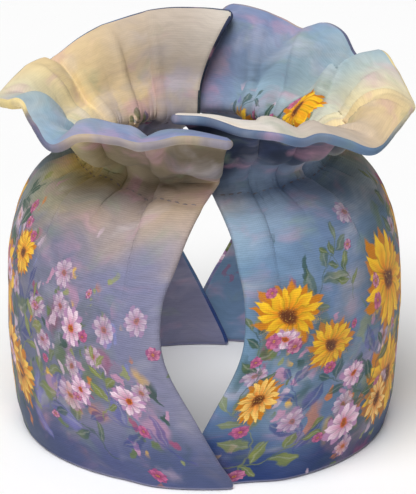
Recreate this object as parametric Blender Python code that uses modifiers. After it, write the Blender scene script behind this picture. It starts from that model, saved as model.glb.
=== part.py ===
"""Fitted tea cosy of two padded cloth panels that wrap round its sides and cross at the front and the back.

Each panel is one cut: a rounded body that stands on its hem, drawn in on a stitched neck, and a ruffle collar
that flares out above the neck. The right panel is the same cut turned half a turn, so the left one lies
outside at the front and inside at the back. Metres, +Z up, the front at -Y, the hem on z = 0.
"""

import math

import bpy
import numpy as np

OBJECT_NAME = "tea_cosy"

# Driving dimensions
MM = 0.001
CLOTH_THICKNESS = 0.0040
LAYER_GAP = 0.0011  # air between the two panels where they cross
AXIS_X = -0.0009  # where the neck's axis stands, so that the origin is under the middle of the cosy

COLUMNS = 60
ROW_PITCH = 0.0125

# Where the cloth lies as it rises from the hem to the neck, in millimetres: its radius, its height, how far
# the upright edge passes the centre line, how far the crossing leans to the right at the front and to the
# left at the back, how deep the creases between the gathers are, and the share of the lap's step.
BODY_COLUMNS = ("radius", "height", "past_centre", "lean", "crease", "lap_share")
BODY_SECTION = (
    (79.0, 0.0, 12.0, 0.0, 0.0, 1),
    (79.0, 1.5, 12.0, 0.0, 0.0, 1),
    (81.3, 12.0, 7.0, 0.0, 0.0, 1),
    (82.8, 30.0, -2.0, 0.0, 0.0, 1),
    (84.0, 60.0, -16.0, 0.0, 0.2, 1),
    (82.3, 84.0, -16.5, 0.5, 1.0, 1),
    (78.5, 98.0, -12.3, 1.8, 2.0, 1),
    (74.0, 107.5, -9.2, 2.8, 3.0, 1),
    (67.5, 114.8, -5.4, 3.5, 3.4, 1),
    (59.0, 119.0, -2.0, 4.0, 3.0, 1),
    (51.0, 124.0, 2.0, 4.0, 2.0, 1),
)

# The collar's rows above the neck: the part of the way to the rim, of the bow, and the rest as above. The
# cloth rises steeply from the neck, swells out over it, rises again, and rolls over at the rim.
COLLAR_COLUMNS = ("part_of_way", "part_of_bow", "crease", "lap_share")
COLLAR_SECTION = (
    (0.17, 0.40, 2.6, 1),
    (0.34, 0.12, 3.6, 1),
    (0.60, 0.78, 2.2, 1),
    (0.83, 0.95, 0.8, 0.8),
    (1.00, 0.00, 0.0, 0.4),
)

# The collar's rim, in degrees from the front round the panel's own side, and millimetres. The bow is how far
# the collar stands in from the straight line between neck and rim.
RIM_COLUMNS = ("bearing", "radius", "height", "bow")
RIM_LEFT = (
    (-9, 83.0, 151.3, 5.6),
    (6, 80.5, 153.4, 8.0),
    (14, 83.0, 150.6, 9.4),
    (19, 83.4, 149.5, 5.4),
    (26, 82.0, 149.8, 7.6),
    (38, 84.0, 148.0, 9.0),
    (44, 89.0, 143.0, 8.0),
    (54, 86.5, 148.0, 4.5),
    (69, 83.0, 152.4, 6.8),
    (79, 86.0, 148.0, 7.0),
    (88, 88.6, 144.6, 7.0),
    (96, 84.7, 148.4, 6.0),
    (105, 81.5, 151.3, 5.0),
    (115, 79.5, 152.0, 4.0),
    (121, 80.5, 149.0, 3.5),
    (132, 74.6, 157.6, 3.0),
    (141, 72.0, 162.0, 3.0),
    (151, 69.5, 165.0, 3.0),
    (163, 66.5, 167.2, 3.0),
    (179, 64.0, 167.4, 3.0),
    (194, 63.5, 166.6, 3.0),
)
RIM_RIGHT = (
    (-12, 73.0, 157.8, 4.6),
    (1, 74.0, 157.0, 5.0),
    (11, 79.0, 153.2, 6.6),
    (22, 81.5, 151.2, 8.8),
    (28, 83.5, 149.0, 6.4),
    (34, 83.5, 149.2, 6.4),
    (41, 86.8, 145.8, 7.5),
    (49, 91.5, 140.0, 8.5),
    (62, 90.5, 144.2, 8.5),
    (78, 89.5, 144.7, 8.0),
    (91, 89.9, 141.0, 8.0),
    (98, 88.6, 145.5, 7.0),
    (106, 87.2, 151.5, 5.5),
    (112, 85.5, 156.0, 4.0),
    (116, 79.5, 151.5, 3.2),
    (119, 77.0, 154.0, 3.0),
    (125, 76.0, 162.0, 3.0),
    (132, 75.0, 164.4, 3.0),
    (140, 71.5, 160.5, 3.0),
    (150, 70.5, 164.0, 3.0),
    (164, 70.0, 168.5, 3.0),
    (172, 70.0, 169.2, 3.0),
)

# Bearings of the creases between the gathers, in degrees from the front round the panel's own side.
CREASES_LEFT = (20, 40, 55, 72, 90, 106, 123, 141, 158)
CREASES_RIGHT = (20, 37, 53, 70, 87, 104, 122, 138, 156)
CREASE_WIDTH = 3.8  # degrees from a crease to where the gather has regained most of its height

# The panels lie one on the other up to the first bearing from the front or back, and in one ring past
# the second.
LAP_FULL = 12.5
LAP_END = 26.0


def eased(part):
    """From 0 to 1 with a level start and a level end."""
    return part * part * (3 - 2 * part)


def smooth_curve(knots, values, at):
    """Cubic curve through the values: each tangent is the mean of the two slopes beside its knot."""
    knots = np.asarray(knots, float)
    values = np.asarray(values, float)
    shape = (-1,) + (1,) * (values.ndim - 1)
    widths = np.diff(knots)
    slopes = np.diff(values, axis=0) / widths.reshape(shape)
    tangents = np.concatenate([slopes[:1], (slopes[1:] + slopes[:-1]) / 2, slopes[-1:]])
    span = np.clip(np.searchsorted(knots, at, side="right") - 1, 0, len(widths) - 1)
    width = widths[span].reshape(shape)
    part = (at - knots[span]).reshape(shape) / width
    rise = eased(part)
    leave = part * (1 - part) ** 2 * width
    arrive = part * part * (part - 1) * width
    between = values[span] * (1 - rise) + values[span + 1] * rise
    return between + tangents[span] * leave + tangents[span + 1] * arrive


def chord_lengths(points):
    """Distance along the points from the first one, as the crow flies between neighbours."""
    steps = np.linalg.norm(np.diff(points, axis=0), axis=1)
    return np.concatenate([[0.0], np.cumsum(steps)])


def columns(names, table):
    """The columns of a table by name."""
    return dict(zip(names, np.array(table, float).T))


def outward(grid, side):
    """Unit normals of a grid of points, on the side of the cloth's outer face."""
    normal = side * np.cross(np.gradient(grid, axis=1), np.gradient(grid, axis=0))
    return normal / np.linalg.norm(normal, axis=-1, keepdims=True)


def on_bearing(bearing, radius, height, side):
    """Points at a bearing in radians from the front, round the side given as -1 for left or 1 for right."""
    return np.stack([side * radius * np.sin(bearing), -radius * np.cos(bearing), height], axis=-1)


def gather_depth(bearing, creases):
    """From 0 on a gather's crown to 1 in a crease: each crease is a soft V round its own bearing."""
    away = np.abs(np.degrees(bearing)[..., None] - np.asarray(creases, float)).min(axis=-1)
    return np.exp(-away / CREASE_WIDTH)


def lap(bearing, outside_at_front):
    """From 1 where the panel lies outside the other, through 0, to -1 where it lies inside."""
    degrees = np.degrees(bearing)
    near_front = eased(np.clip((LAP_END - degrees) / (LAP_END - LAP_FULL), 0, 1))
    near_back = eased(np.clip((degrees - 180 + LAP_END) / (LAP_END - LAP_FULL), 0, 1))
    return (near_front - near_back) * (1 if outside_at_front else -1)


def rim_points(rim, across, side):
    """The rim's points, evenly spread along it from the front edge to the back edge, and the bow at each."""
    rim = columns(RIM_COLUMNS, rim)
    stations = on_bearing(np.radians(rim["bearing"]), rim["radius"] * MM, rim["height"] * MM, side)
    along = chord_lengths(stations)
    at = across * along[-1]
    return smooth_curve(along, stations, at), smooth_curve(along, rim["bow"] * MM, at)


def body_rows(across, side):
    """Rows of points from hem to neck, each with its own arc between the two upright edges."""
    body = {name: column[:, None] for name, column in columns(BODY_COLUMNS, BODY_SECTION).items()}
    lean = side * body["lean"] / body["radius"]
    reach = body["past_centre"] / body["radius"]
    bearing = lean - reach + (math.pi + 2 * reach) * across
    height = np.broadcast_to(body["height"] * MM, bearing.shape)
    return on_bearing(bearing, body["radius"] * MM, height, side)


def collar_rows(neck, rim, rim_bow):
    """Rows from above the neck to the rim, each bowed in and up by its part of the bow. The cloth fans out
    sideways late: by the square of the part of the way."""
    run = rim - neck
    out = neck * (1, 1, 0)
    out /= np.linalg.norm(out, axis=-1, keepdims=True)
    flare = (run * out).sum(axis=-1, keepdims=True)
    inward = flare * (0.0, 0.0, 1.0) - run[:, 2:] * out
    inward /= np.linalg.norm(inward, axis=-1, keepdims=True)
    sideways = run * (1, 1, 0) - flare * out
    collar = columns(COLLAR_COLUMNS, COLLAR_SECTION)
    way = collar["part_of_way"][:, None, None]
    bow = collar["part_of_bow"][:, None, None] * rim_bow[:, None]
    return neck + way * run - (way - way**2) * sideways + bow * inward


def panel_surface(side, rim, creases, outside_at_front):
    """The middle surface of a panel as a grid: rows from hem to rim, columns from front edge to back edge."""
    across = np.linspace(0, 1, COLUMNS + 1)
    body = body_rows(across, side)
    top, bow = rim_points(rim, across, side)
    guides = np.concatenate([body, collar_rows(body[-1], top, bow)])
    along = chord_lengths(guides[:, COLUMNS // 2])

    crease, lap_share = np.array([row[-2:] for row in BODY_SECTION + COLLAR_SECTION]).T
    bearing = np.arctan2(side * guides[..., 0], -guides[..., 1])
    bearing = np.where(bearing < -math.pi / 2, bearing + 2 * math.pi, bearing)
    side_of_lap = lap(bearing, outside_at_front)
    step = side_of_lap * lap_share[:, None] * (CLOTH_THICKNESS + LAYER_GAP) / 2
    step = step - (1 - np.abs(side_of_lap)) * crease[:, None] * MM * gather_depth(bearing, creases)
    normal = outward(guides, side)
    normal[1] = normal[0]
    guides = guides + step[..., None] * normal

    rows = [along[:1]]
    for start, end in zip(along[:-1], along[1:]):
        steps = math.ceil((end - start) / ROW_PITCH)
        rows.append(np.linspace(start, end, steps + 1)[1:])
    return smooth_curve(along, guides, np.concatenate(rows)) + (AXIS_X, 0, 0)


def grid_mesh(name, grid):
    """An open sheet of four-sided faces on a grid of points."""
    index = np.arange(grid.shape[0] * grid.shape[1]).reshape(grid.shape[:2])
    faces = np.stack([index[:-1, :-1], index[:-1, 1:], index[1:, 1:], index[1:, :-1]], axis=-1).reshape(-1, 4)
    mesh = bpy.data.meshes.new(name)
    mesh.from_pydata(grid.reshape(-1, 3).tolist(), [], faces.tolist())
    return mesh


def cloth_material(name, color):
    material = bpy.data.materials.new(name)
    material.use_nodes = True
    shader = material.node_tree.nodes["Principled BSDF"]
    shader.inputs["Base Color"].default_value = (*color, 1.0)
    shader.inputs["Roughness"].default_value = 0.85
    shader.inputs["Metallic"].default_value = 0.0
    return material


def add_panel(name, side, rim, creases, outside_at_front, color, collection):
    """One padded panel: its middle surface given the cloth's thickness, half to each side."""
    grid = panel_surface(side, rim, creases, outside_at_front)
    mesh = grid_mesh(name, grid if side > 0 else grid[:, ::-1])
    mesh.materials.append(cloth_material(name + "_cloth", color))
    mesh.shade_smooth()
    panel = bpy.data.objects.new(name, mesh)
    padding = panel.modifiers.new("padding", "SOLIDIFY")
    padding.thickness = CLOTH_THICKNESS
    padding.offset = 0.0
    collection.objects.link(panel)


def build():
    for old in list(bpy.data.objects):
        bpy.data.objects.remove(old, do_unlink=True)
    collection = bpy.data.collections.new(OBJECT_NAME)
    bpy.context.scene.collection.children.link(collection)
    add_panel("panel_left", -1, RIM_LEFT, CREASES_LEFT, True, (0.50, 0.42, 0.33), collection)
    add_panel("panel_right", 1, RIM_RIGHT, CREASES_RIGHT, False, (0.20, 0.29, 0.45), collection)


build()
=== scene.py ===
"""The look of a fitted tea cosy: two padded cotton panels with a painted-looking flower print that wrap round
its sides, cross at the front and the back, and flare above a stitched neck into a ruffle collar."""

import math
from functools import partialmethod

import bpy
import numpy as np
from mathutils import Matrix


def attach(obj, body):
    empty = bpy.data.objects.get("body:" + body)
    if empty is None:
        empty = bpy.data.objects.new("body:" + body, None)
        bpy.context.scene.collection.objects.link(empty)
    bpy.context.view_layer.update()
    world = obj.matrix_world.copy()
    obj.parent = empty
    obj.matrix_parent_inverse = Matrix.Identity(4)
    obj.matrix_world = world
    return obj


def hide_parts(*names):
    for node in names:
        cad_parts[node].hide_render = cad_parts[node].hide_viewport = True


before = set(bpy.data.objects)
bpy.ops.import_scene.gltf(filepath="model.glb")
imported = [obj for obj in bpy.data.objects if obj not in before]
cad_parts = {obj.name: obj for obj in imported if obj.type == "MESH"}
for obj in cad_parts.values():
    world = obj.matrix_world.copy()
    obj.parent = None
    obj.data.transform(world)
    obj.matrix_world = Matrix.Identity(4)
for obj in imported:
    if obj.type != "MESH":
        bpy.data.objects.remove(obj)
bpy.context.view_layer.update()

# The printed cotton
#
# Plain-woven cotton with a fine rib along the weft. Its print looks painted: a clouded ground from sand to
# blue, with beds of blooms, pale daisies and small blossoms among loose dabs of the brush. All panels are cut
# from one print, so a place on the cloth is its way along the print and up from the hem.

MM = 0.001
PRINT_WIDTH = 0.250  # one run of the ground, from sand to blue
RIB_PITCH = 0.00090
THREAD_PITCH = 0.00062


def dye(red, green, blue):
    """A colour as a painter reads it, 0 to 255, as the shader's linear one."""
    part = np.array([red, green, blue]) / 255
    return (*np.where(part <= 0.04045, part / 12.92, ((part + 0.055) / 1.055) ** 2.4).tolist(), 1.0)


class Reading:
    """A number read at each place on the cloth. Arithmetic on readings adds Math nodes to their tree."""

    def __init__(self, tree, socket):
        self.tree = tree
        self.socket = socket

    def step(self, operation, *others):
        node = lay(self.tree, "Math", dict(enumerate((self, *others))), operation=operation)
        return Reading(self.tree, node.outputs[0])

    __add__ = partialmethod(step, "ADD")
    __sub__ = partialmethod(step, "SUBTRACT")
    __mul__ = partialmethod(step, "MULTIPLY")
    __truediv__ = partialmethod(step, "DIVIDE")
    raised = partialmethod(step, "POWER")
    size = partialmethod(step, "ABSOLUTE")

    def rise(self, start, end):
        """0 before start, 1 past end, and a smooth rise between."""
        node = lay(self.tree, "MapRange", {0: self, 1: start, 2: end}, interpolation_type="SMOOTHSTEP")
        return Reading(self.tree, node.outputs[0])

    def within(self, start, full, fading, gone):
        """1 from full to fading, and 0 before start and past gone."""
        return self.rise(start, full) * (self.rise(fading, gone) * -1.0 + 1.0)


def feed(tree, socket, value):
    """Links a reading or another node's output to the socket, or writes a plain value on it."""
    if isinstance(value, Reading):
        value = value.socket
    if isinstance(value, bpy.types.NodeSocket):
        tree.links.new(value, socket)
    else:
        socket.default_value = value


def lay(tree, kind, inputs=(), **options):
    """A node of a kind in the tree, with its own options set and its inputs fed by name or number."""
    node = tree.nodes.new("ShaderNode" + kind)
    for name, value in options.items():
        setattr(node, name, value)
    for socket, value in dict(inputs).items():
        feed(tree, node.inputs[socket], value)
    return node


def over(tree, under, top, share, blend="MIX"):
    """One colour laid over another by a share from 0 to 1."""
    return lay(tree, "Mix", {0: share, 6: under, 7: top}, data_type="RGBA", blend_type=blend).outputs[2]


def apart(tree, vector):
    """The three readings of a vector."""
    node = lay(tree, "SeparateXYZ", {0: vector})
    return [Reading(tree, output) for output in node.outputs]


def together(tree, x, y, z=0.0):
    return lay(tree, "CombineXYZ", {0: x, 1: y, 2: z}).outputs[0]


def dimmed(tree, shade, level):
    """The colour times a level, which is 1 where it stays as it is."""
    return over(tree, shade, together(tree, level, level, level), 1.0, "MULTIPLY")


def cloud(tree, vector, scale, detail):
    """Soft noise from 0 to 1 about 0.5, and its three-part colour."""
    node = lay(tree, "TexNoise", {"Vector": vector, "Scale": scale, "Detail": detail})
    return Reading(tree, node.outputs[0]), node.outputs[1]


def wandered(tree, vector, scale, reach, detail=3.0):
    """The vector moved about by soft noise, by half the reach at most each way."""
    _, push = cloud(tree, vector, scale, detail)
    push = lay(tree, "VectorMath", {0: push, 1: (0.5, 0.5, 0.5)}, operation="SUBTRACT").outputs[0]
    return lay(tree, "VectorMath", {0: push, 1: reach, 2: vector}, operation="MULTIPLY_ADD").outputs[0]


def turned(tree, vector, turn, scale):
    """The vector turned in the print's plane and stretched."""
    return lay(tree, "Mapping", {0: vector, 2: (0.0, 0.0, turn), 3: scale}).outputs[0]


def runs(tree, along, stops, between="B_SPLINE"):
    """A colour that runs through the stops, each a place from 0 to 1 and a dye."""
    node = lay(tree, "ValToRGB", {0: along})
    ramp = node.color_ramp
    ramp.interpolation = between
    for element, (at, *shade) in zip(ramp.elements, (stops[0], stops[-1])):
        element.position = at
        element.color = dye(*shade)
    for at, *shade in stops[1:-1]:
        ramp.elements.new(at).color = dye(*shade)
    return node.outputs[0]


def effect(name, inputs, outputs):
    """A new node group, its tree, and the readings or sockets of its inputs by name."""
    tree = bpy.data.node_groups.new(name, "ShaderNodeTree")
    for label, kind, value in inputs:
        socket = tree.interface.new_socket(label, in_out="INPUT", socket_type="NodeSocket" + kind)
        if value is not None:
            socket.default_value = value
    for label, kind in outputs:
        tree.interface.new_socket(label, in_out="OUTPUT", socket_type="NodeSocket" + kind)
    entry = tree.nodes.new("NodeGroupInput")
    given = {}
    for label, kind, _ in inputs:
        socket = entry.outputs[label]
        given[label] = Reading(tree, socket) if kind == "Float" else socket
    return tree, given


def yields(tree, **results):
    """Feeds the group's outputs, named in lower case, and closes the group."""
    end = tree.nodes.new("NodeGroupOutput")
    for socket in end.inputs:
        if socket.name:
            feed(tree, socket, results[socket.name.lower()])


def finish(name, **values):
    """A new material, its tree, and its shader with values set by input name."""
    material = bpy.data.materials.new(name)
    material.use_nodes = True
    shader = material.node_tree.nodes["Principled BSDF"]
    for label, value in values.items():
        shader.inputs[label.replace("_", " ")].default_value = value
    return material, material.node_tree, shader


def placed(name, data):
    """A new object of the data in the scene."""
    thing = bpy.data.objects.new(name, data)
    bpy.context.scene.collection.objects.link(thing)
    return thing


# Bands of the ground from the hem up: each runs along the print from its sand end at 0 to its blue end at 1.
HEM_RUN = (
    (0.00, 82, 94, 132), (0.14, 90, 96, 140), (0.30, 66, 76, 118), (0.46, 66, 80, 108),
    (0.60, 44, 66, 112), (0.80, 34, 52, 104), (1.00, 48, 72, 128),
)
BELLY_RUN = (
    (0.00, 142, 140, 162), (0.09, 124, 128, 164), (0.18, 134, 130, 150), (0.30, 116, 120, 150),
    (0.42, 74, 80, 106), (0.54, 72, 96, 118), (0.68, 96, 124, 150), (0.84, 112, 132, 170),
    (1.00, 116, 150, 178),
)
SHOULDER_RUN = (
    (0.00, 204, 178, 148), (0.10, 180, 162, 150), (0.22, 146, 136, 142), (0.36, 176, 168, 138),
    (0.50, 134, 142, 134), (0.62, 130, 152, 166), (0.78, 142, 160, 190), (0.90, 146, 166, 194),
    (1.00, 152, 176, 196),
)
# The outer collar's run is partly print and partly painted shade: darker for the shade under the lip.
COLLAR_RUN = (
    (0.00, 154, 138, 114), (0.14, 184, 168, 144), (0.30, 206, 188, 146), (0.44, 250, 224, 146),
    (0.54, 236, 216, 162), (0.64, 146, 158, 160), (0.74, 96, 110, 134), (0.88, 62, 72, 100),
    (1.00, 62, 70, 100),
)
LINING_RUN = (
    (0.00, 240, 236, 230), (0.11, 228, 220, 210), (0.20, 202, 190, 178), (0.27, 190, 174, 160),
    (0.36, 236, 206, 150), (0.48, 240, 220, 168), (0.57, 226, 218, 184), (0.66, 164, 190, 198),
    (0.76, 140, 168, 192), (0.88, 126, 140, 176), (1.00, 126, 134, 172),
)
# The bands from the belly up, in order, on the outer cloth and then on the lining: the run of colours, and
# the ways up the print between which it takes over from the one below.
BANDS = (
    (BELLY_RUN, 0.012, 0.044),
    (SHOULDER_RUN, 0.094, 0.120),
    (COLLAR_RUN, 0.127, 0.149),
    (BELLY_RUN, 0.188, 0.200),
    (LINING_RUN, 0.305, 0.325),
)
# Up the print: where the lining's neck is clouded, and where painted shade deepens the dye under the collar.
LINING_NECK = (0.300, 0.310, 0.334, 0.356)
UNDER_COLLAR_SHADE = (0.132, 0.152, 0.168, 0.190)
FAINTEST_NECK_SHADE = 0.46  # along the print, where that deeper dye is lightest
# Thin washes over the ground: the noise's scale, the dye, where in it the wash starts and is full, its share.
WASHES = (
    (29.0, (240, 232, 240), 0.53, 0.78, 0.34),
    (40.0, (212, 156, 180), 0.52, 0.74, 0.46),
    (27.0, (92, 106, 156), 0.54, 0.78, 0.34),
    (46.0, (140, 162, 132), 0.54, 0.78, 0.42),
    (20.0, (220, 188, 148), 0.54, 0.77, 0.38),
)
DAB_RUN = (
    (0.00, 50, 80, 66), (0.16, 104, 122, 66), (0.34, 150, 156, 96), (0.44, 204, 150, 180),
    (0.58, 216, 190, 208), (0.68, 236, 186, 62), (0.78, 212, 126, 52), (0.86, 162, 80, 116),
    (0.93, 134, 138, 190),
)


def painted_ground():
    """The clouded ground: bands, each a run of colours along the print, that melt into each other upwards,
    painted shade under the collar, then thin washes and brush marks. The place read is pushed about by noise."""
    fed = [("Print", "Vector", None), ("Bed", "Float", 0.0)]
    tree, given = effect("painted ground", fed, [("Color", "Color")])
    x, up, _ = apart(tree, wandered(tree, given["Print"], 16.0, (0.074, 0.084, 0.0)))
    along = x / PRINT_WIDTH
    shade = runs(tree, along, HEM_RUN)
    for run, start, full in BANDS:
        shade = over(tree, shade, runs(tree, along, run), up.rise(start, full))
    cool, _ = cloud(tree, given["Print"], 46.0, 3.0)
    clouded = cool.rise(0.42, 0.62) * up.within(*LINING_NECK) * 0.62
    shade = over(tree, shade, dye(180, 174, 196), clouded)
    # Painted shade: the collar's underside round the neck is darkened, least at the place along the print
    # given above.
    neck_shade = (along - FAINTEST_NECK_SHADE).size().rise(0.03, 0.13) * -0.38 - 0.16
    shade = dimmed(tree, shade, up.within(*UNDER_COLLAR_SHADE) * neck_shade + 1.0)
    flowing = wandered(tree, given["Print"], 30.0, (0.028, 0.028, 0.0), 2.0)
    above_hem = up.rise(-0.018, 0.040)
    for number, (scale, wash, start, full, share) in enumerate(WASHES):
        lie, _ = cloud(tree, turned(tree, flowing, 0.7 * number, (1.0, 1.7, 1.0)), scale, 4.0)
        shade = over(tree, shade, dye(*wash), lie.rise(start, full) * above_hem * share)
    marks, _ = cloud(tree, turned(tree, flowing, 0.6, (1.0, 4.0, 1.0)), 130.0, 4.0)
    fine, _ = cloud(tree, turned(tree, flowing, -0.5, (1.0, 3.0, 1.0)), 520.0, 2.0)
    shade = dimmed(tree, shade, marks * 0.34 + fine * 0.10 + 0.78)
    thicket, _ = cloud(tree, flowing, 95.0, 3.0)
    shade = over(tree, shade, dye(72, 96, 84), thicket.rise(0.40, 0.66) * given["Bed"] * 0.62)
    yields(tree, color=shade)
    return tree


def loose_dabs():
    """Short dabs of a loaded brush, one in each cell of a pushed net with Cells cells to the metre, each of a
    random dye and girth. Bed, from 0 to 1, is the share of the cells that holds one."""
    tree, given = effect(
        "loose dabs",
        [("Print", "Vector", None), ("Bed", "Float", 0.0), ("Cells", "Float", 120.0), ("Soft", "Float", 0.1)],
        [("Color", "Color"), ("Mask", "Float")],
    )
    moved = wandered(tree, given["Print"], 110.0, (0.016, 0.016, 0.0), 4.0)
    fed = {"Vector": turned(tree, moved, 0.5, (1.0, 0.62, 1.0)), "Scale": given["Cells"]}
    cells = lay(tree, "TexVoronoi", fed, voronoi_dimensions="2D")
    pick, keep, girth = apart(tree, cells.outputs["Color"])
    gap = Reading(tree, cells.outputs["Distance"])
    mask = (girth * 0.26 + 0.20 - gap).rise(given["Soft"] * -1.0, given["Soft"])
    tone, _ = cloud(tree, moved, 420.0, 2.0)
    shade = dimmed(tree, runs(tree, pick, DAB_RUN, "CONSTANT"), tone * 0.7 + 0.64)
    yields(tree, color=shade, mask=mask * (given["Bed"] - keep).rise(0.0, 0.10))
    return tree


def flower_head():
    """A flower in its own unit circle: petals at even turns round a heart, over a second ring behind the
    gaps. A petal's tip lies at 1 and its gap at Notch, with a triangle wave to the power Point between. Place
    is the flower's own x and y, with its lot from 0 to 1, which varies its look, as z."""
    tree, given = effect(
        "flower head",
        [
            ("Place", "Vector", None),
            *((label, "Float", 0.5) for label in ("Petals", "Notch", "Point", "Heart")),
            *((label, "Color", None) for label in ("Root", "Tip", "Back", "Heart color")),
        ],
        [("Color", "Color"), ("Mask", "Float"), ("Halo", "Float")],
    )
    x, y, lot = apart(tree, wandered(tree, given["Place"], 2.1, (0.42, 0.42, 0.0), 4.0))
    y = y * (lot * 0.45 + 1.0)
    from_heart = (x * x + y * y).step("SQRT")
    turn = y.step("ARCTAN2", x) / math.tau + from_heart * (lot - 0.5) * 0.10 + 1.0

    def ring(shift, reach):
        """Outline, share of the way to a petal's middle, side of it, and each petal's own random number."""
        count = turn * given["Petals"] + shift
        fed = {"W": count.step("FLOOR") + lot * 91.0}
        own = Reading(tree, lay(tree, "TexWhiteNoise", fed, noise_dimensions="1D").outputs[0])
        aside = count.step("FRACT") - 0.5
        middle = aside.size() * -2.0 + 1.0
        bump = middle.raised(given["Point"]) * (given["Notch"] * -1.0 + 1.0) + given["Notch"]
        return bump * (own * 0.30 + 0.72) * reach, middle, aside, own

    back_edge, back_middle, _, _ = ring(0.5, 1.0)
    edge, middle, aside, own = ring(0.0, 0.92)
    back_mask = (back_edge - from_heart).rise(-0.04, 0.05)
    front_mask = (edge - from_heart).rise(-0.03, 0.06)

    way = (from_heart / edge).rise(0.12, 0.95)
    tip = over(tree, given["Tip"], dye(250, 240, 240), lot.rise(0.35, 1.0) * 0.30)
    veins, _ = cloud(tree, together(tree, turn * 60.0, from_heart * 2.0, lot * 9.0), 1.0, 3.0)
    shade = over(tree, given["Root"], tip, way * 0.8 + veins * 0.4 - 0.1)
    dim = middle.rise(0.0, 0.5) * 0.34 + veins * 0.40 + own * 0.22 + aside * 0.26 + 0.36
    shade = dimmed(tree, shade, dim)
    behind = dimmed(tree, given["Back"], back_middle.rise(0.0, 0.5) * 0.35 + veins * 0.3 + 0.42)
    shade = over(tree, behind, shade, front_mask)
    grains, _ = cloud(tree, given["Place"], 22.0, 3.0)
    heart_mask = (given["Heart"] * (grains * 0.9 + 0.55) - from_heart).rise(-0.05, 0.05)
    core_dark = (given["Heart"] * 0.62 - from_heart).rise(-0.1, 0.06) * 0.6
    core = over(tree, given["Heart color"], dye(70, 40, 30), core_dark)
    core = over(tree, core, dye(244, 190, 92), grains.rise(0.54, 0.70) * 0.55)
    halo = (from_heart * -1.0 + 1.12).rise(0.0, 0.55)
    shade = over(tree, shade, core, heart_mask)
    yields(tree, color=shade, mask=back_mask.step("MAXIMUM", front_mask), halo=halo)
    return tree


# A sprig's leaves in its own unit box: where each leaves the stem, its bearing in degrees, and its length.
LEAVES = (
    (-0.62, 58, 0.46), (-0.40, -44, 0.56), (-0.08, 40, 0.64),
    (0.20, -52, 0.50), (0.48, 34, 0.46), (0.64, -16, 0.38),
)


def leafy_sprig():
    """A thin bowed stem from x = -1 to 1 with leaves to both sides. A leaf is a lens: its half width is 0.21
    of its length times the sine of the way along it. Lot and soft noise pick the deep or the light dye."""
    tree, given = effect(
        "leafy sprig",
        [("Place", "Vector", None), ("Deep", "Color", None), ("Light", "Color", None)],
        [("Color", "Color"), ("Mask", "Float")],
    )
    x, y, lot = apart(tree, wandered(tree, given["Place"], 1.5, (0.5, 0.62, 0.0), 4.0))
    bow = 0.30
    stem = y - (x * x * -bow + bow)
    mask = (stem.size() * -1.0 + 0.026).rise(0.0, 0.026) * (x.size() * -1.0 + 0.98).rise(0.0, 0.10) * 0.8
    rib = mask * 0.0
    for stem_x, bearing, length in LEAVES:
        root_y = bow - bow * stem_x * stem_x
        cos, sin = math.cos(math.radians(bearing)), math.sin(math.radians(bearing))
        along = ((x - stem_x) * cos + (y - root_y) * sin) / length
        aside = ((y - root_y) * cos - (x - stem_x) * sin).size() / length
        half = (along.step("MAXIMUM", 0.0).step("MINIMUM", 1.0) * math.pi).step("SINE") * 0.21
        mask = mask.step("MAXIMUM", (half - aside).rise(-0.01, 0.07))
        rib = rib.step("MAXIMUM", (aside * -1.0 + 0.05).rise(0.0, 0.05) * (half - aside).rise(0.02, 0.10))
    tone, _ = cloud(tree, given["Place"], 2.6, 4.0)
    pick = (lot * 0.7 + tone * 1.1 - 0.4).rise(0.15, 0.85)
    shade = over(tree, given["Deep"], given["Light"], pick)
    shade = over(tree, shade, dye(206, 206, 190), rib * 0.25)
    yields(tree, color=dimmed(tree, shade, tone * 0.6 + 0.7), mask=mask * 0.86)
    return tree


def plain_weave():
    """The weave's height from 0 to 1: ribs along the weft crossed by finer warp threads, both uneven."""
    tree, given = effect("plain weave", [("Print", "Vector", None)], [("Height", "Float")])
    x, up, _ = apart(tree, given["Print"])
    uneven, _ = cloud(tree, given["Print"], 160.0, 2.0)
    weft = ((up + uneven * 0.0007) * (math.tau / RIB_PITCH)).step("SINE")
    warp = ((x + uneven * 0.0006) * (math.tau / THREAD_PITCH)).step("SINE")
    slub, _ = cloud(tree, turned(tree, given["Print"], 0.0, (60.0, 900.0, 1.0)), 1.0, 2.0)
    yields(tree, height=weft * 0.20 + warp * 0.10 + slub * 0.6 + 0.20)
    return tree


DAB_SIZES = ((95.0, 0.22, 0.55), (210.0, 0.10, 0.80))  # cells to the metre, softness, and share
GROUND = painted_ground()
DABS = loose_dabs()
FLOWER = flower_head()
SPRIG = leafy_sprig()
WEAVE = plain_weave()

BLOOM_LOOK = {
    "Petals": 13.0, "Notch": 0.50, "Point": 0.66, "Heart": 0.22,
    "Root": dye(216, 112, 22), "Tip": dye(250, 204, 44), "Back": dye(212, 132, 30),
    "Heart color": dye(126, 66, 28),
}
DAISY_LOOK = {
    "Petals": 8.0, "Notch": 0.36, "Point": 0.36, "Heart": 0.19,
    "Root": dye(196, 120, 156), "Tip": dye(240, 214, 230), "Back": dye(190, 144, 184),
    "Heart color": dye(216, 104, 42),
}
BLOSSOM_LOOK = {
    "Petals": 5.0, "Notch": 0.44, "Point": 0.45, "Heart": 0.16,
    "Root": dye(138, 48, 92), "Tip": dye(208, 108, 152), "Back": dye(168, 84, 134),
    "Heart color": dye(232, 150, 80),
}
LEAF_LOOK = {"Deep": dye(42, 80, 66), "Light": dye(134, 142, 70)}
LARKSPUR_LOOK = {"Deep": dye(48, 58, 126), "Light": dye(132, 128, 196)}
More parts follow.
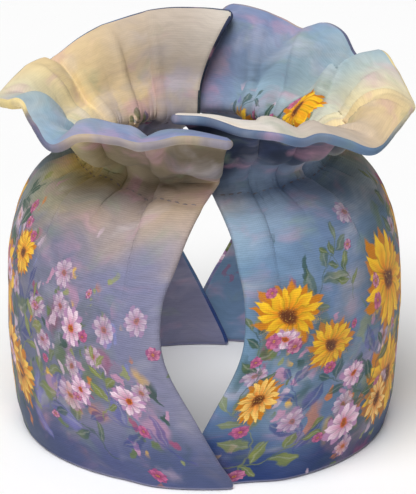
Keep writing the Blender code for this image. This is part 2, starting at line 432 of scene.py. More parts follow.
# The printed layers from the lowest up: the motifs' name, their group and look, how much of them covers, and
# how dark the ground is round them.
LAYERS = (
    ("larkspur", SPRIG, LARKSPUR_LOOK, 0.72, 0.0),
    ("low_sprig", SPRIG, LEAF_LOOK, 0.80, 0.0),
    ("low_bloom", FLOWER, BLOOM_LOOK, 0.92, 0.50),
    ("low_daisy", FLOWER, DAISY_LOOK, 0.56, 0.14),
    ("sprig", SPRIG, LEAF_LOOK, 1.0, 0.0),
    ("bloom", FLOWER, BLOOM_LOOK, 1.0, 0.55),
    ("daisy", FLOWER, DAISY_LOOK, 1.0, 0.25),
    ("blossom", FLOWER, BLOSSOM_LOOK, 0.92, 0.10),
)


def printed_cotton(name):
    """One panel's cloth: the ground, loose dabs, each layer of motifs by its mask, painted shade in the
    weave's grooves and a painted highlight on the hem's fold. The collar is pressed smoother than the body."""
    material, tree, shader = finish(
        name, Roughness=0.86, Specular_IOR_Level=0.22, Sheen_Weight=0.12, Sheen_Roughness=0.45
    )
    spot = lay(tree, "Attribute", attribute_name="print_place").outputs["Vector"]
    bed = lay(tree, "Attribute", attribute_name="in_bed").outputs["Fac"]
    shade = lay(tree, "Group", {"Print": spot, "Bed": bed}, node_tree=GROUND).outputs["Color"]
    for cells, soft, share in DAB_SIZES:
        fed = {"Print": spot, "Bed": bed, "Cells": cells, "Soft": soft}
        dabs = lay(tree, "Group", fed, node_tree=DABS)
        shade = over(tree, shade, dabs.outputs["Color"], Reading(tree, dabs.outputs["Mask"]) * share)
    for kind, group, look, cover, dark in LAYERS:
        place = lay(tree, "Attribute", attribute_name=kind + "_place").outputs["Vector"]
        motif = lay(tree, "Group", {"Place": place, **look}, node_tree=group)
        if dark:
            shade = over(tree, shade, dye(66, 82, 92), Reading(tree, motif.outputs["Halo"]) * dark)
        shade = over(tree, shade, motif.outputs["Color"], Reading(tree, motif.outputs["Mask"]) * cover)
    height = Reading(tree, lay(tree, "Group", {"Print": spot}, node_tree=WEAVE).outputs["Height"])
    _, up, _ = apart(tree, spot)
    coarse = up.rise(0.118, 0.146) * -0.62 + 1.0
    # Painted shade: the weave's low parts darken the colour, less on the collar.
    shade = dimmed(tree, shade, (height - 0.5) * coarse * 0.30 + 0.985)
    # Painted highlight: a paler line along the hem's folded edge.
    hem_highlight = up.rise(0.0006, 0.0022) * -0.55 + 0.55
    shade = over(tree, shade, dye(188, 184, 206), hem_highlight)
    feed(tree, shader.inputs["Base Color"], shade)
    bump = lay(tree, "Bump", {"Strength": coarse * 0.8, "Distance": 0.00018, "Height": height})
    feed(tree, shader.inputs["Normal"], bump.outputs[0])
    return material


# Where the large motifs are printed: the place along the print from 0 to 1, the way up and the radius in
# millimetres, and the turn in degrees.
LOW_BLOOMS = (
    (0.470, 70, 21.0, 40), (0.385, 34, 17.0, 80), (0.672, 32, 24.0, 10), (0.715, 84, 13.0, 130),
    (0.560, 96, 14.0, 65), (0.850, 60, 14.0, 20),
)
BLOOMS = (
    (0.560, 58, 25.0, 10), (0.430, 42, 17.0, 50), (0.690, 76, 26.0, 25), (0.700, 24, 13.0, 75),
    (0.370, 88, 13.0, 35), (0.930, 76, 18.0, 5), (0.945, 40, 12.0, 100), (0.510, 20, 15.0, 150),
)
LOW_SPRIGS = (
    (0.520, 92, 30.0, 118), (0.600, 20, 30.0, 62), (0.400, 66, 28.0, 100), (0.690, 60, 27.0, 75),
    (0.880, 92, 24.0, 128), (0.790, 30, 26.0, 40), (0.330, 40, 25.0, 145), (0.240, 20, 22.0, 30),
    (0.960, 22, 22.0, 60),
)
SPRIGS = (
    (0.455, 94, 24.0, 70), (0.585, 40, 26.0, 150), (0.500, 14, 24.0, 20), (0.330, 62, 20.0, 118),
    (0.650, 100, 22.0, 100), (0.745, 46, 22.0, 110), (0.895, 18, 20.0, 150), (0.990, 58, 20.0, 80),
    (0.160, 44, 17.0, 100), (0.830, 88, 15.0, 60),
)
LARKSPURS = (
    (0.400, 60, 38.0, 128), (0.300, 36, 34.0, 155), (0.140, 22, 30.0, 20), (0.560, 40, 34.0, 60),
    (0.750, 60, 28.0, 110), (0.900, 30, 26.0, 70),
)
LINING_BLOOMS = ((0.640, 144, 13.0, 60), (0.800, 133, 9.0, 15))
LINING_SPRIGS = (
    (0.715, 143, 17.0, 170), (0.600, 134, 16.0, 30), (0.820, 143, 15.0, 150), (0.300, 132, 12.0, 40),
)


def strewn(pitch, jitter, radius, keep, seed):
    """Motifs strewn over the print: one in each square of a net, moved at random within a share of it and
    kept where a random number is below keep, a function of the place. Rows are along, up, radius, turn."""
    random = np.random.default_rng(seed)
    columns, rows = int(PRINT_WIDTH / pitch), int(0.19 / pitch)
    across, up = np.meshgrid(np.arange(columns) + 0.5, np.arange(rows) + 0.5)
    moved = random.uniform(-jitter / 2, jitter / 2, (2, rows, columns))
    across = (across + moved[0]) / columns
    up = (up + moved[1]) * pitch / MM
    size = random.uniform(radius[0], radius[1], across.shape)
    turn = random.uniform(0, 360, across.shape)
    kept = random.uniform(0, 1, across.shape) < keep(across, up)
    return np.stack([across[kept], up[kept], size[kept], turn[kept]], axis=-1)


def hill(at, centre, width):
    """A smooth hill of height 1 round its centre."""
    return np.exp(-(((at - centre) / width) ** 2))


# The beds of flowers on the outer cloth and on the lining: centre and width along the print from 0 to 1,
# centre and width up in millimetres, and how full.
OUTER_BEDS = (
    (0.440, 0.085, 60, 44, 1.00), (0.620, 0.110, 54, 48, 1.00), (0.905, 0.068, 58, 34, 0.84),
    (0.745, 0.085, 26, 26, 0.85), (0.215, 0.115, 58, 30, 0.95), (0.090, 0.070, 38, 26, 0.60),
)
LINING_UP = 0.200  # the lining is cut this much further up the print, in metres
LINING_BEDS = ((0.720, 0.110, 134, 13, 0.95), (0.300, 0.060, 128, 8, 0.35), (0.600, 0.300, 60, 40, 0.30))


def fullness(along, up, beds):
    """How full of flowers the print is at a place, from 0 to 1: the fullest of the beds' hills."""
    full = [share * hill(along, x, wide) * hill(up, y, tall) for x, wide, y, tall, share in beds]
    return np.max(full, axis=0)


def sown(pitch, jitter, radius, share, top, seed):
    """Motifs strewn over the outer cloth's beds up to a height, and over the lining's."""

    def on_outer(x, y):
        return (0.03 + share * fullness(x, y, OUTER_BEDS)) * (y < top)

    def on_lining(x, y):
        return 1.4 * fullness(x, y, LINING_BEDS)

    return tuple(strewn(pitch, jitter, radius, *way) for way in ((on_outer, seed), (on_lining, seed + 100)))


# For each layer, the motifs on the outer cloth and on the lining.
MOTIFS = {
    "larkspur": (LARKSPURS, LINING_SPRIGS[3:]),
    "low_sprig": (LOW_SPRIGS, LINING_SPRIGS[2:]),
    "low_bloom": (LOW_BLOOMS, LINING_BLOOMS[1:]),
    "low_daisy": sown(0.0205, 0.70, (6.0, 9.5), 0.80, 112, 17),
    "sprig": (SPRIGS, LINING_SPRIGS[:2]),
    "bloom": (BLOOMS, LINING_BLOOMS[:1]),
    "daisy": sown(0.029, 0.65, (7.0, 11.0), 0.66, 100, 11),
    "blossom": sown(0.0150, 0.70, (2.6, 4.8), 0.60, 108, 5),
}


def stamped(print_x, print_y, motifs):
    """Each corner's place in its nearest motif's own circle, with the motif's lot as z. A face's corners all
    take the motif nearest to its middle, by distance over radius."""
    x, y, radius, turn = np.array(motifs, float).T * [[PRINT_WIDTH], [MM], [MM], [math.pi / 180]]
    away = np.hypot(print_x.mean(axis=1)[:, None] - x, print_y.mean(axis=1)[:, None] - y) / radius
    nearest = away.argmin(axis=1)
    x, y, radius, cos, sin = (each[nearest, None] for each in (x, y, radius, np.cos(turn), np.sin(turn)))
    off_x, off_y = print_x - x, print_y - y
    place_x = (off_x * cos + off_y * sin) / radius
    place_y = (off_y * cos - off_x * sin) / radius
    lot = np.broadcast_to((nearest * 0.6180339 % 1.0)[:, None], place_x.shape)
    return np.stack([place_x, place_y, lot], axis=-1)


# The two panels
#
# Each is two layers of the cotton with thin wadding between, sewn face to face, turned through and pressed to
# soft edges. Stitches gather the neck, and the cloth above it flares out as the collar. The right panel is
# the same cut turned half a turn: it lies under the left one at the front and over it at the back.

CLOTH_THICKNESS = 0.0040
LAYER_GAP = 0.0011
AXIS_X = -0.0009
# The body from hem to neck, in millimetres: radius, height, how far the cloth reaches past the middle at both
# edges, and how far its front edge moves round to the right.
BODY_SECTION = (
    (79.0, 0.0, 12.0, 0.0), (79.0, 1.5, 12.0, 0.0), (81.3, 12.0, 7.0, 0.0), (82.8, 30.0, -2.0, 0.0),
    (84.0, 60.0, -16.0, 0.0), (82.3, 84.0, -16.5, 0.5), (78.5, 98.0, -12.3, 1.8), (74.0, 107.5, -9.2, 2.8),
    (67.5, 114.8, -5.4, 3.5), (59.0, 119.0, -2.0, 4.0), (51.0, 124.0, 2.0, 4.0),
)
# The collar from neck to rim: the shares of the way, of the bow, and of the step at the laps.
COLLAR_SECTION = ((0.17, 0.40, 1), (0.34, 0.12, 1), (0.60, 0.78, 1), (0.83, 0.95, 0.8), (1.00, 0.00, 0.4))
# The rim from front to back: bearing in degrees, then radius, height and the collar's bow in millimetres.
RIM_LEFT = (
    (-9, 83.0, 151.3, 5.6), (6, 80.5, 153.4, 8.0), (14, 83.0, 150.6, 9.4), (19, 83.4, 149.5, 5.4),
    (26, 82.0, 149.8, 7.6), (38, 84.0, 148.0, 9.0), (44, 89.0, 143.0, 8.0), (54, 86.5, 148.0, 4.5),
    (69, 83.0, 152.4, 6.8), (79, 86.0, 148.0, 7.0), (88, 88.6, 144.6, 7.0), (96, 84.7, 148.4, 6.0),
    (105, 81.5, 151.3, 5.0), (115, 79.5, 152.0, 4.0), (121, 80.5, 149.0, 3.5), (132, 74.6, 157.6, 3.0),
    (141, 72.0, 162.0, 3.0), (151, 69.5, 165.0, 3.0), (163, 66.5, 167.2, 3.0), (179, 64.0, 167.4, 3.0),
    (194, 63.5, 166.6, 3.0),
)
RIM_RIGHT = (
    (-12, 73.0, 157.8, 4.6), (1, 74.0, 157.0, 5.0), (11, 79.0, 153.2, 6.6), (22, 81.5, 151.2, 8.8),
    (28, 83.5, 149.0, 6.4), (34, 83.5, 149.2, 6.4), (41, 86.8, 145.8, 7.5), (49, 91.5, 140.0, 8.5),
    (62, 90.5, 144.2, 8.5), (78, 89.5, 144.7, 8.0), (91, 89.9, 141.0, 8.0), (98, 88.6, 145.5, 7.0),
    (106, 87.2, 151.5, 5.5), (112, 85.5, 156.0, 4.0), (116, 79.5, 151.5, 3.2), (119, 77.0, 154.0, 3.0),
    (125, 76.0, 162.0, 3.0), (132, 75.0, 164.4, 3.0), (140, 71.5, 160.5, 3.0), (150, 70.5, 164.0, 3.0),
    (164, 70.0, 168.5, 3.0), (172, 70.0, 169.2, 3.0),
)
LAP_FULL = 12.5
LAP_END = 26.0

# The folds between the gathers: each fold's bearing at the neck in degrees, how many degrees it drifts back
# by its lower end, its depth at the neck and its reach down in millimetres, and how wide its steep and its
# gentle side are in degrees. The gentle side faces back on a fold that drifts back, and else forward.
FOLDS_LEFT = (
    (20, 3.5, 5.0, 62, 0.9, 6.5), (31, 1.5, 1.1, 40, 1.2, 4.0), (40, -1.0, 4.2, 30, 1.3, 5.0),
    (55, 3.0, 4.0, 60, 1.0, 7.5), (72, -1.5, 2.8, 34, 1.4, 5.0), (90, 2.0, 3.2, 42, 1.1, 6.0),
    (106, 0.0, 2.8, 30, 1.4, 5.0), (123, 2.5, 3.2, 44, 1.0, 6.0), (141, -1.5, 2.8, 32, 1.4, 5.0),
    (158, 1.0, 3.0, 40, 1.1, 5.0),
)
FOLDS_RIGHT = (
    (20, 3.0, 5.0, 66, 0.9, 6.0), (37, -1.0, 3.4, 30, 1.4, 5.0), (53, 4.0, 4.2, 64, 1.0, 7.5),
    (64, 2.0, 1.4, 34, 1.2, 4.5), (73, 0.0, 2.8, 30, 1.3, 5.0), (87, 2.0, 3.2, 42, 1.1, 6.0),
    (104, -1.5, 2.8, 32, 1.4, 5.0), (122, 2.0, 3.2, 44, 1.0, 6.0), (138, 0.0, 2.8, 30, 1.3, 5.0),
    (156, 1.5, 3.0, 40, 1.1, 5.0),
)

GUIDE_POINTS = 601  # across each guide row
ROUND_EDGE = 0.0023  # how far in from its edge the padded cloth has its full thickness
SEAM_IN = 0.0013  # the outer cloth turns in over the edge this far
SEAM_DIP = 0.00025
SEAM_WIDTH = 0.0005
RIM_CORNER = 0.0055
HEM_CORNER = 0.0022
# The wadding bunches up along the rim and tucks in below: height, distance from the rim, and width.
LIP_SWELL = (0.0018, 0.0062, 0.0052)
LIP_TUCK = (0.0007, 0.0160, 0.0034)
STITCH_LINE = 0.1335  # up the cloth from the hem
STITCH_DROP_WIDTH = 0.028  # the line drops towards the front edge over this width
STITCH_PINCH = 0.0010
PINCH_WIDTH = 0.0021
PUCKER = 0.00030
PUCKER_WIDTH = 0.0075
# The wadding's lumps: how many across and up, and their height.
LUMPS = ((16, 9, 0.00055), (44, 30, 0.00018))
HEM_FLAT = 0.012  # folds and lumps fade out over this much above the hem
# Short wrinkles near the front edge, in millimetres: each end's distance from the front edge and its way up,
# then the depth and the width.
WRINKLES_LEFT = (
    (31, 160, 13, 148, 1.7, 3.2), (13, 148, 3, 143, 1.5, 2.6), (15, 153, 1, 152, 0.8, 1.1),
    (26, 140, 12, 131, 0.6, 1.3), (44, 139, 36, 150, 0.8, 1.6), (60, 128, 66, 140, 0.7, 1.5),
    (20, 112, 42, 118, 0.5, 2.2),
)
WRINKLES_RIGHT = (
    (16, 141, 27, 147, 0.9, 1.6), (38, 146, 62, 151, 0.9, 1.9), (52, 128, 47, 139, 0.7, 1.5),
    (78, 144, 96, 150, 0.9, 1.8), (8, 124, 22, 121, 0.5, 1.6), (30, 112, 50, 107, 0.5, 2.4),
)
EDGE_STEPS = (0.0, 0.15, 0.45, 0.9, 1.45, 2.1, 2.9)
MIDDLE_COLUMNS = 268
ROW_PITCH = 0.00135


def eased(part):
    """From 0 to 1 with a level start and a level end."""
    return part * part * (3 - 2 * part)


def smooth_curve(knots, values, at):
    """Cubic curve through the values: each tangent is the mean of the two slopes beside its knot."""
    knots = np.asarray(knots, float)
    values = np.asarray(values, float)
    shape = (-1,) + (1,) * (values.ndim - 1)
    widths = np.diff(knots)
    slopes = np.diff(values, axis=0) / widths.reshape(shape)
    tangents = np.concatenate([slopes[:1], (slopes[1:] + slopes[:-1]) / 2, slopes[-1:]])
    span = np.clip(np.searchsorted(knots, at, side="right") - 1, 0, len(widths) - 1)
    width = widths[span].reshape(shape)
    part = (at - knots[span]).reshape(shape) / width
    rise = eased(part)
    leave = part * (1 - part) ** 2 * width
    arrive = part * part * (part - 1) * width
    between = values[span] * (1 - rise) + values[span + 1] * rise
    return between + tangents[span] * leave + tangents[span + 1] * arrive


def chord_lengths(points):
    """Distance along the points from the first, in straight steps."""
    steps = np.linalg.norm(np.diff(points, axis=0), axis=-1)
    return np.concatenate([[0.0], np.cumsum(steps)])


def unit(vectors):
    return vectors / np.linalg.norm(vectors, axis=-1, keepdims=True)


def outward(grid, side):
    """Unit normals of a grid of points, on the side of the cloth's outer face."""
    return unit(side * np.cross(np.gradient(grid, axis=1), np.gradient(grid, axis=0)))


def on_bearing(bearing, radius, height, side):
    """Points at a bearing in radians from the front, round the side given as -1 for left or 1 for right."""
    return np.stack([side * radius * np.sin(bearing), -radius * np.cos(bearing), height], axis=-1)


def bearings_of(grid, side):
    """Each point's bearing in degrees from the front, round the panel's own side."""
    bearing = np.degrees(np.arctan2(side * (grid[..., 0] - AXIS_X), -grid[..., 1]))
    return np.where(bearing < -90, bearing + 360, bearing)


def lap(bearing, side):
    """From 1 where the panel lies outside the other, as the left one does at the front, through 0, to -1."""
    near_front = eased(np.clip((LAP_END - bearing) / (LAP_END - LAP_FULL), 0, 1))
    near_back = eased(np.clip((bearing - 180 + LAP_END) / (LAP_END - LAP_FULL), 0, 1))
    return (near_front - near_back) * -side


def panel_guides(side, rim, across):
    """Rows of points that the cloth passes through: arcs of the body's section, then the collar's rows on the
    way to the rim, bowed in and fanned out sideways late. Each is half a layer out or in where the panels
    cross."""
    radius, height, past_middle, lean = np.array(BODY_SECTION).T[..., None]
    reach = past_middle / radius
    bearing = side * lean / radius - reach + (math.pi + 2 * reach) * across
    rows = on_bearing(bearing, radius * MM, np.broadcast_to(height * MM, bearing.shape), side)

    bearing, radius, height, bow = np.array(rim).T
    stations = on_bearing(np.radians(bearing), radius * MM, height * MM, side)
    along = chord_lengths(stations)
    top = smooth_curve(along, stations, across * along[-1])
    top_bow = smooth_curve(along, bow * MM, across * along[-1])[:, None]

    neck = rows[-1]
    run = top - neck
    out = unit(neck * (1, 1, 0))
    flare = (run * out).sum(axis=-1, keepdims=True)
    inward = unit(flare * (0.0, 0.0, 1.0) - run[:, 2:] * out)
    sideways = run * (1, 1, 0) - flare * out
    way, bow, laps = np.array(COLLAR_SECTION).T[..., None, None]
    share = np.concatenate([np.ones((len(rows), 1)), laps[..., 0]])
    rows = np.concatenate([rows, neck + way * run - (way - way**2) * sideways + bow * top_bow * inward])
    step = lap(bearings_of(rows + (AXIS_X, 0, 0), side), side)
    step = step * share * (CLOTH_THICKNESS + LAYER_GAP) / 2
    normal = outward(rows, side)
    normal[1] = normal[0]
    return rows + step[..., None] * normal + (AXIS_X, 0, 0)


def edged_steps(length, pitch):
    """Stations from 0 to length: close in the rounded edge at each end, and evenly spread between."""
    edge = np.array(EDGE_STEPS) * MM
    count = math.ceil((length - 2 * edge[-1]) / pitch)
    middle = np.linspace(edge[-1], length - edge[-1], count + 1)
    return np.concatenate([edge[:-1], middle, length - edge[:-1][::-1]])


def corner_inset(from_edge, radius):
    """How far a rounded corner's outline stands in from one side, at a distance from the other."""
    short = np.clip(radius - from_edge, 0, None)
    return radius - np.sqrt(radius**2 - short**2)


def soft_lumps(u, v, across, up, seed):
    """Smooth random hills from -1 to 1: random numbers on a net of across by up squares, eased between."""
    net = np.random.default_rng(seed).uniform(-1, 1, (up + 2, across + 2))
    x, y = u * across, v * up
    i, j = np.minimum(x.astype(int), across), np.minimum(y.astype(int), up)
    s, t = eased(x - i), eased(y - j)
    low = net[j, i] * (1 - s) + net[j, i + 1] * s
    high = net[j + 1, i] * (1 - s) + net[j + 1, i + 1] * s
    return low * (1 - t) + high * t


# How deep the folds are in the collar, as a share of their depth at the neck, by the part of the way up it.
COLLAR_FOLD_WAY = (0.0, 0.17, 0.34, 0.60, 0.83, 1.0)
COLLAR_FOLD_SHARE = (0.9, 0.9, 1.25, 1.10, 0.45, 0.0)


def fold_depth(bearing, up, neck_up, rim_up, folds):
    """How far the folds draw the cloth in, in metres. Each is a trough that falls off to both sides as the
    exponential of the degrees over that side's width. It eases out to nothing at its reach below the neck,
    and fades towards the rim above it."""
    total = np.zeros_like(bearing)
    for at, drift, depth, reach, steep, gentle in folds:
        below = np.clip((neck_up - up) / (reach * MM), 0, 1)
        above = np.clip((up - neck_up) / (rim_up - neck_up), 0, 1)
        away = bearing - (at + drift * below)
        width = np.where((away > 0) == (drift > 0), gentle, steep) * (1 + 0.5 * below)
        fade = (1 - below**1.5) * np.interp(above, COLLAR_FOLD_WAY, COLLAR_FOLD_SHARE)
        total = np.maximum(total, depth * MM * np.exp(-np.abs(away) / width) * fade)
    return total


def wrinkle_depth(from_front, up, wrinkles):
    """How far short wrinkles draw the cloth in, in metres: each a trough round a straight line on the flat
    cloth, falling off as the square exponential of the distance over its width."""
    total = np.zeros_like(from_front)
    for ax, ay, bx, by, depth, width in np.array(wrinkles) * MM:
        part = ((from_front - ax) * (bx - ax) + (up - ay) * (by - ay)) / ((bx - ax) ** 2 + (by - ay) ** 2)
        part = np.clip(part, 0, 1)
        away = np.hypot(from_front - ax - part * (bx - ax), up - ay - part * (by - ay))
        total += depth * hill(away, 0, width)
    return total


def smoothed(points, count):
    """The points with each moved to the mean of itself and its neighbours, a number of times."""
    for _ in range(count):
        inside = (points[:-2] + points[1:-1] + points[2:]) / 3
        points = np.concatenate([points[:1], inside, points[-1:]])
    return points


def smooth_cloth(side, rim):
    """The cloth's middle surface before it is gathered, as a grid from hem to rim and from front edge to
    back. With it come each point's share of the way across, way up, and distances to the front edge, the
    nearest side edge and the rim, then the ways up to neck and rim."""
    dense = np.linspace(0, 1, GUIDE_POINTS)
    guides = panel_guides(side, rim, dense)
    along = chord_lengths(guides[:, GUIDE_POINTS // 2])
    neck_up, rim_up = along[len(BODY_SECTION) - 1], along[-1]
    up = edged_steps(rim_up, ROW_PITCH)[:, None]
    rows = smooth_curve(along, guides, up[:, 0])

    width = np.linalg.norm(np.diff(rows, axis=1), axis=-1).sum(axis=1)[:, None]
    from_rim = rim_up - up
    inset = corner_inset(from_rim, RIM_CORNER) + corner_inset(up, HEM_CORNER)
    across = edged_steps(PRINT_WIDTH, (PRINT_WIDTH - 2 * EDGE_STEPS[-1] * MM) / MIDDLE_COLUMNS) / PRINT_WIDTH
    u = inset / width + (1 - 2 * inset / width) * across
    at = u * (GUIDE_POINTS - 1)
    left = np.minimum(at.astype(int), GUIDE_POINTS - 2)
    part = (at - left)[..., None]
    pick = np.arange(len(up))[:, None]
    middle = rows[pick, left] * (1 - part) + rows[pick, left + 1] * part
    from_side = np.minimum(across, 1 - across) * width
    return middle, u, np.broadcast_to(up, u.shape), across * width, from_side, from_rim, neck_up, rim_up


def padded_faces(side, rim, folds, wrinkles, stitch_drop, seed):
    """The outer and the inner face and the middle's normals as grids, with each point's share across, way up,
    distance to the nearest edge and way up to its stitches. Folds, wrinkles, puckers and lumps step along the
    smooth cloth's normals. A face stands half the thickness off, and a quarter circle ends it at the edge."""
    middle, u, v, from_front, from_side, from_rim, neck_up, rim_up = smooth_cloth(side, rim)
    bearing = bearings_of(middle, side)
    free = 1 - np.abs(lap(bearing, side))
    stitch_line = STITCH_LINE - stitch_drop * hill(from_front, 0, STITCH_DROP_WIDTH)
    gathered = fold_depth(bearing, v, neck_up, rim_up, folds) * free
    ripple = np.sin(bearing * 1.9 + 2.0 * soft_lumps(u, v / rim_up, 40, 3, seed))
    off = ripple * hill(v, stitch_line, PUCKER_WIDTH) * PUCKER
    for number, (lumps_across, lumps_up, height) in enumerate(LUMPS, start=1):
        off = off + soft_lumps(u, v / rim_up, lumps_across, lumps_up, seed + number) * height
    off = off * (0.35 + 0.65 * free) - gathered - wrinkle_depth(from_front, v, wrinkles)
    off = off * np.clip(v / HEM_FLAT, 0, 1)
    middle = middle + off[..., None] * outward(middle, side)

    from_edge = np.minimum(from_side, np.minimum(v, from_rim))
    rounded = np.sqrt(1 - (1 - np.clip(from_edge / ROUND_EDGE, 0, 1)) ** 2)
    half = (CLOTH_THICKNESS / 2 - STITCH_PINCH * hill(v, stitch_line, PINCH_WIDTH)) * rounded
    seam = SEAM_DIP * hill(from_edge, SEAM_IN, SEAM_WIDTH)
    (swell, swell_at, swell_width), (tuck, tuck_at, tuck_width) = LIP_SWELL, LIP_TUCK
    lip = swell * hill(from_rim, swell_at, swell_width) - tuck * hill(from_rim, tuck_at, tuck_width)
    normal = outward(middle, side)
    outer = middle + (half + lip * (0.3 + 0.7 * free) * rounded)[..., None] * normal
    inner = middle - (half - seam)[..., None] * normal
    lift = (0, 0, min(outer[..., 2].min(), inner[..., 2].min()))
    return outer - lift, inner - lift, normal, u, v, from_edge, stitch_line


def pillow(name, outer, inner, side):
    """A closed mesh of both faces, which share the points along the edge. With it come the grid's numbers for
    each corner of the outer faces and of the inner ones, which follow them."""
    rows, across = outer.shape[:2]
    front = np.arange(rows * across).reshape(rows, across)
    back = front.copy()
    back[1:-1, 1:-1] = front.size + np.arange((rows - 2) * (across - 2)).reshape(rows - 2, across - 2)
    points = np.concatenate([outer.reshape(-1, 3), inner[1:-1, 1:-1].reshape(-1, 3)])

    def quads(index, flipped):
        corners = [index[:-1, :-1], index[:-1, 1:], index[1:, 1:], index[1:, :-1]]
        faces = np.stack(corners, axis=-1).reshape(-1, 4)
        return faces[:, ::-1] if flipped else faces

    faces = np.concatenate([quads(front, side < 0), quads(back, side > 0)])
    mesh = bpy.data.meshes.new(name)
    mesh.from_pydata(points.tolist(), [], faces.tolist())
    mesh.shade_smooth()
    return mesh, quads(front, side < 0), quads(front, side > 0)


def print_on(mesh, outer_spots, inner_spots, u, v, from_edge, cut):
    """Writes on the faces' corners where they lie on the print, in each layer's motifs and in the beds. What
    is turned in at the edge shows the outer cloth's print. cut has the outer and the inner face's places
    along the print at the front and the back edge."""
    turned_in = from_edge.reshape(-1)[inner_spots].mean(axis=1) < SEAM_IN
    share = u.reshape(-1)
    outer_x = (cut[0] + (cut[1] - cut[0]) * share) * PRINT_WIDTH
    inner_x = (cut[2] + (cut[3] - cut[2]) * share) * PRINT_WIDTH
    inner_x = np.where(turned_in[:, None], outer_x[inner_spots], inner_x[inner_spots])
    x = np.concatenate([outer_x[outer_spots], inner_x])
    y = v.reshape(-1)[np.concatenate([outer_spots, inner_spots])]
    lined = np.concatenate([np.zeros(len(outer_spots), bool), ~turned_in])[:, None]

    def on_corners(label, values):
        kind, field = ("FLOAT_VECTOR", "vector") if values.ndim == 3 else ("FLOAT", "value")
        data = mesh.attributes.new(label, kind, "CORNER").data
        data.foreach_set(field, values.astype(np.float32).ravel())

    on_corners("print_place", np.stack([x, y + lined * LINING_UP, np.zeros_like(x)], axis=-1))
    for kind, (outer_motifs, lining_motifs) in MOTIFS.items():
        place = np.where(lined[..., None], stamped(x, y, lining_motifs), stamped(x, y, outer_motifs))
        on_corners(kind + "_place", place)
    at = (x / PRINT_WIDTH, y / MM)
    on_corners("in_bed", np.where(lined, fullness(*at, LINING_BEDS), fullness(*at, OUTER_BEDS)))


def padded_panel(name, side, rim, folds, wrinkles, stitch_drop, cut, seed):
    """One panel as a closed pillow of printed cloth, with its outer and inner face's points along the
    stitches and the normals there."""
    faces = padded_faces(side, rim, folds, wrinkles, stitch_drop, seed)
    outer, inner, normal, u, v, from_edge, stitch_line = faces
    mesh, outer_spots, inner_spots = pillow(name, outer, inner, side)
    print_on(mesh, outer_spots, inner_spots, u, v, from_edge, cut)
    panel = placed(name, mesh)
    mesh.materials.append(printed_cotton(name + "_cotton"))
    row = np.abs(v - stitch_line).argmin(axis=0)
    on_line = (row, np.arange(len(row)))
    return panel, *(smoothed(grid[on_line], 5) for grid in (outer, inner, normal))


THREAD_DASH = 0.0025
STITCH_PITCH = 0.0036
UNSTITCHED = 0.004  # at each end of the line
THREAD_RADIUS = 0.00028
DASH_STATIONS = (-1.0, -0.72, -0.25, 0.25, 0.72, 1.0)


def neck_stitches(name, lines):
    """A running stitch as one mesh of short dashes along each line of points and normals. A dash is a
    six-sided capsule that bows up in the middle and dips into the cloth at both ends."""
    stations = np.array(DASH_STATIONS)
    ring = np.arange(6) * math.tau / 6
    girth = THREAD_RADIUS * np.sqrt(1 - (0.93 * stations) ** 2)
    height = THREAD_RADIUS * (0.75 - 1.9 * stations**4)
    points = []
    for line, normal, start in lines:
        along = chord_lengths(line)
        middle = np.arange(UNSTITCHED + start, along[-1] - UNSTITCHED, STITCH_PITCH)
        at = middle[:, None] + stations * THREAD_DASH / 2
        base, up = (
            np.stack([np.interp(at, along, axis) for axis in field.T], axis=-1) for field in (line, normal)
        )
        aside = unit(np.cross(np.gradient(base, axis=1), up))
        lift = height[:, None] + girth[:, None] * np.cos(ring)
        swing = girth[:, None] * np.sin(ring)
        raised = base[:, :, None] + lift[..., None] * up[:, :, None]
        points.append(raised + swing[..., None] * aside[:, :, None])
    points = np.concatenate(points)
    index = np.arange(points.size // 3).reshape(points.shape[:3])
    wrapped = np.concatenate([index, index[:, :, :1]], axis=2)
    low, high = wrapped[:, :-1], wrapped[:, 1:]
    quads = np.stack([low[:, :, :-1], low[:, :, 1:], high[:, :, 1:], high[:, :, :-1]], axis=-1).reshape(-1, 4)
    faces = quads.tolist() + index[:, 0, ::-1].tolist() + index[:, -1].tolist()
    mesh = bpy.data.meshes.new(name)
    mesh.from_pydata(points.reshape(-1, 3).tolist(), [], faces)
    mesh.shade_smooth()
    mesh.materials.append(THREAD)
    return placed(name, mesh)


def sewing_thread():
    """Spun polyester sewing thread, a dull grey mauve with finer light and dark along it."""
    material, tree, shader = finish("sewing_thread", Roughness=0.6)
    tone, _ = cloud(tree, lay(tree, "TexCoord").outputs["Object"], 900.0, 2.0)
    feed(tree, shader.inputs["Base Color"], over(tree, dye(104, 96, 104), dye(168, 158, 158), tone))
    return material


THREAD = sewing_thread()


for side_name, side, rim, folds, wrinkles, drop, cut, seed in (
    ("left", -1, RIM_LEFT, FOLDS_LEFT, WRINKLES_LEFT, 0.0105, (0.0, 1.05, 1.0, 0.15), 21),
    ("right", 1, RIM_RIGHT, FOLDS_RIGHT, WRINKLES_RIGHT, 0.001, (1.0, 0.12, 0.0, 0.95), 34),
):
    panel, on_outer, on_inner, faced = padded_panel(
        side_name + "_padded_panel", side, rim, folds, wrinkles, drop, cut, seed
    )
    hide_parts("panel_" + side_name)
    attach(panel, "root")
    lines = (on_outer, faced, 0.0), (on_inner, -faced, STITCH_PITCH / 2)
    stitches = neck_stitches(side_name + "_neck_stitches", lines)
    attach(stitches, "root")

# The setting
#
# A wide pale floor under soft studio light: a broad window light from above, a lamp on the left in front, and
# a weaker one on the right.

FLOOR_HALF = 3.0


def lamp(name, place, aim, size, power):
    """A square lamp that faces its aim."""
    light = bpy.data.lights.new(name, "AREA")
    light.size = size
    light.energy = power
    holder = placed(name, light)
    gap = np.subtract(aim, place)
    yaw = math.atan2(gap[0], -gap[1])
    tilt = math.atan2(math.hypot(gap[0], gap[1]), -gap[2])
    holder.location = place
    holder.rotation_euler = (-tilt, 0, yaw + math.pi)


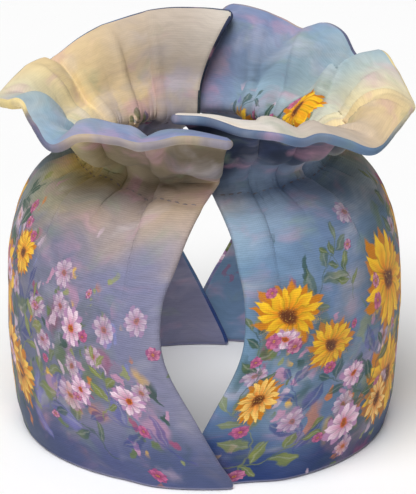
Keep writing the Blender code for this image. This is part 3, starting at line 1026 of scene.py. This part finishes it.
floor_mesh = bpy.data.meshes.new("floor")
corners = [(x * FLOOR_HALF, y * FLOOR_HALF, 0.0) for x, y in ((-1, -1), (1, -1), (1, 1), (-1, 1))]
floor_mesh.from_pydata(corners, [], [(0, 1, 2, 3)])
floor = placed("floor", floor_mesh)
paper, tree, shader = finish("pale_paper", Roughness=0.9, Specular_IOR_Level=0.1)
tint, _ = cloud(tree, lay(tree, "TexCoord").outputs["Object"], 9.0, 2.0)
level = tint * 0.02 + 0.93
feed(tree, shader.inputs["Base Color"], together(tree, level, level, level))
floor_mesh.materials.append(paper)

world = bpy.data.worlds.new("soft_studio")
world.use_nodes = True
sky = world.node_tree.nodes["Background"].inputs
sky[0].default_value = (1.0, 1.0, 1.0, 1.0)
sky[1].default_value = 0.16
bpy.context.scene.world = world
sun = bpy.data.lights.new("window_light", "SUN")
sun.energy = 3.1
sun.angle = math.radians(45)
placed("window_light", sun).rotation_euler = (math.radians(24), math.radians(-10), 0.0)
lamp("key_lamp", (-0.75, -0.95, 1.05), (0.0, 0.0, 0.08), 0.6, 2.2)
lamp("fill_lamp", (1.05, -0.75, 0.55), (0.0, 0.0, 0.08), 0.9, 1.2)

# The camera
#
# It stands in front and looks down on the cosy a little, with a long lens.

CAMERA_AWAY = 1.100
CAMERA_UP = math.radians(20.36)
AIM_HEIGHT = 0.0775
SENSOR = 36.0
PHOTO_HEIGHT = 494  # its longer side, which the sensor's width stands for
FOCAL_PIXELS = 2521
SHIFT_PIXELS = 2

camera_data = bpy.data.cameras.new("camera")
camera_data.sensor_width = SENSOR
camera_data.lens = FOCAL_PIXELS / PHOTO_HEIGHT * SENSOR
camera_data.shift_x = SHIFT_PIXELS / PHOTO_HEIGHT
camera = placed("camera", camera_data)
camera.location = (0.0, -CAMERA_AWAY * math.cos(CAMERA_UP), AIM_HEIGHT + CAMERA_AWAY * math.sin(CAMERA_UP))
camera.rotation_euler = (math.pi / 2 - CAMERA_UP, 0.0, 0.0)
bpy.context.scene.camera = camera
bpy.context.scene.view_settings.view_transform = "Standard"
